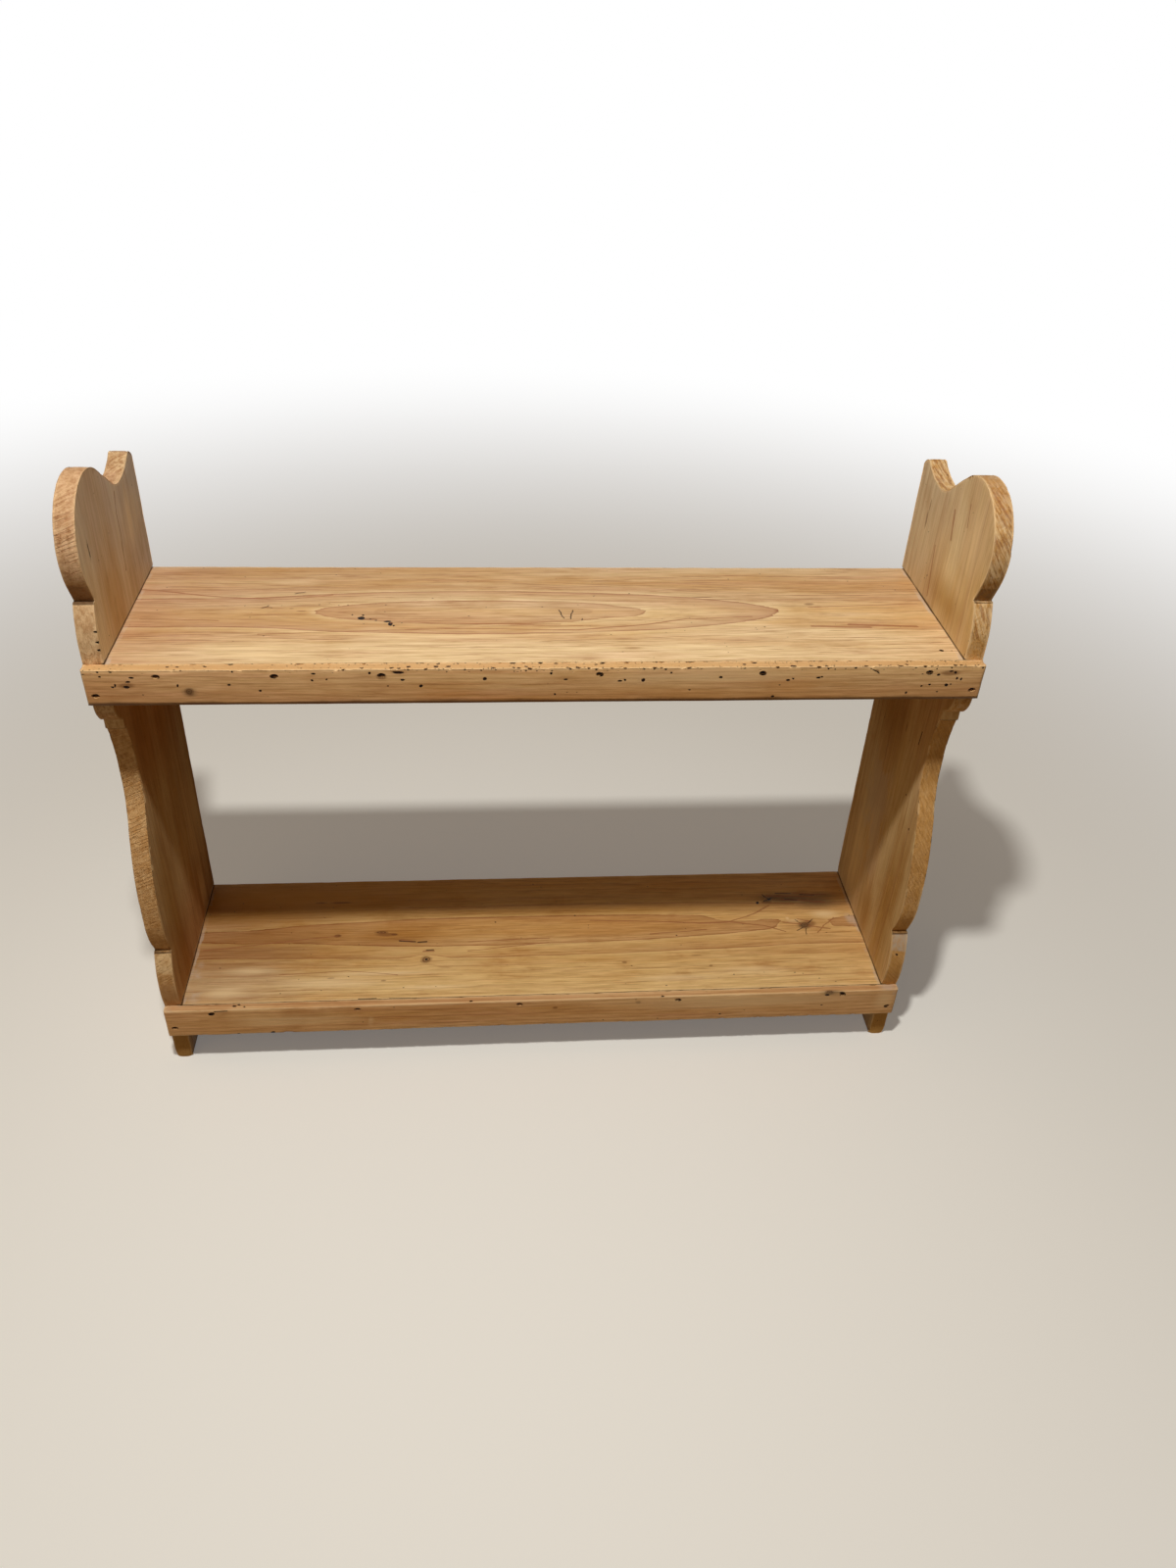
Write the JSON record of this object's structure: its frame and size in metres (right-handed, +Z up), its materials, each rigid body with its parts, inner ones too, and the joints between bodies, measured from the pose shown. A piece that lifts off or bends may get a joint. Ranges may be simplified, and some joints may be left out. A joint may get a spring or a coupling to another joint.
{
  "type": "dairy shelf",
  "caption": "Free-standing two-tier dairy shelf in old waxed pine: scroll-sawn ends, open back, boards housed into the ends and nailed front lips.",
  "frame": {"origin": "on the floor, under the middle of the bounding box", "axes": "+X to the right for someone who faces the front, +Y to the wall at the back, +Z up; the lips face -Y"},
  "size_m": [1.016, 0.2636, 0.8224],
  "materials": {
    "end_pine": "stripped and waxed, upright grain, soft sheen",
    "shelf_pine": "stripped and waxed, grain along the board, worn, soft sheen",
    "lip_pine": "stripped and waxed, wormholes and worn edges, soft sheen",
    "nail_iron": "dark, rusted and dull"
  },
  "bodies": {
    "root": {"left_end": "end_pine", "right_end": "end_pine", "upper_shelf": "shelf_pine", "lower_shelf": "shelf_pine", "upper_front_lip": "lip_pine", "lower_front_lip": "lip_pine", "upper_lip_nails": "nail_iron", "lower_lip_nails": "nail_iron", "upper_lip_end_nails": "nail_iron", "lower_lip_end_nails": "nail_iron", "left_upper_housing_nails": "nail_iron", "right_upper_housing_nails": "nail_iron", "left_lower_housing_nails": "nail_iron", "right_lower_housing_nails": "nail_iron"}
  },
  "joints": []
}
